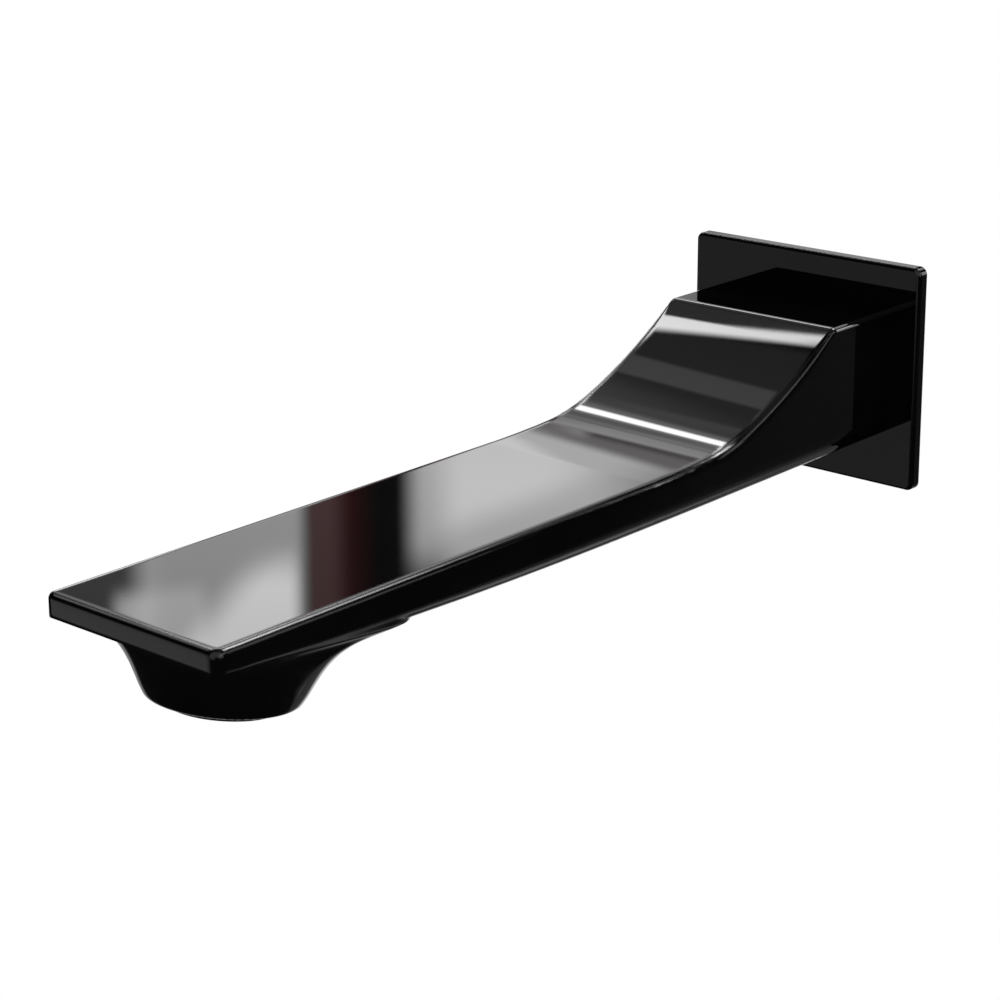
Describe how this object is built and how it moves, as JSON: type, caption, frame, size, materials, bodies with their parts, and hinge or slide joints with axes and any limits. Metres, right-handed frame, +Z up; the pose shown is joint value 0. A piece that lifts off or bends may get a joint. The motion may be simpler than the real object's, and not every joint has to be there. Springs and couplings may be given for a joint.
{
  "type": "wall-mounted bath spout",
  "caption": "Wall-mounted bath spout in gloss black: flat arm with a scooped rise to the wall, flared round outlet with an aerator, rectangular wall flange and threaded nipple.",
  "frame": {"origin": "axis of the inlet nipple where it crosses the wall plane, at the back of the wall flange", "axes": "+Y into the wall along the nipple, -Y toward the tip of the spout, +Z up, +X to the right when seen from the tip"},
  "size_m": [0.062, 0.2245, 0.0548],
  "materials": {
    "gloss_black": "gloss",
    "aerator_black": "gloss",
    "gasket": "matte",
    "brass": "machined",
    "rubber": "satin",
    "steel": "satin",
    "plastic": "satin"
  },
  "bodies": {
    "root": {"spout_body": "gloss_black", "wall_flange": "gloss_black", "flange_gasket": "gasket", "inlet_nipple": "brass", "nipple_o_ring_outer": "rubber", "nipple_o_ring_inner": "rubber", "grub_screw": "steel", "aerator_housing": "aerator_black", "aerator_washer": "rubber", "aerator_strainer": "steel", "aerator_insert": "plastic", "aerator_grid": "plastic"}
  },
  "joints": []
}
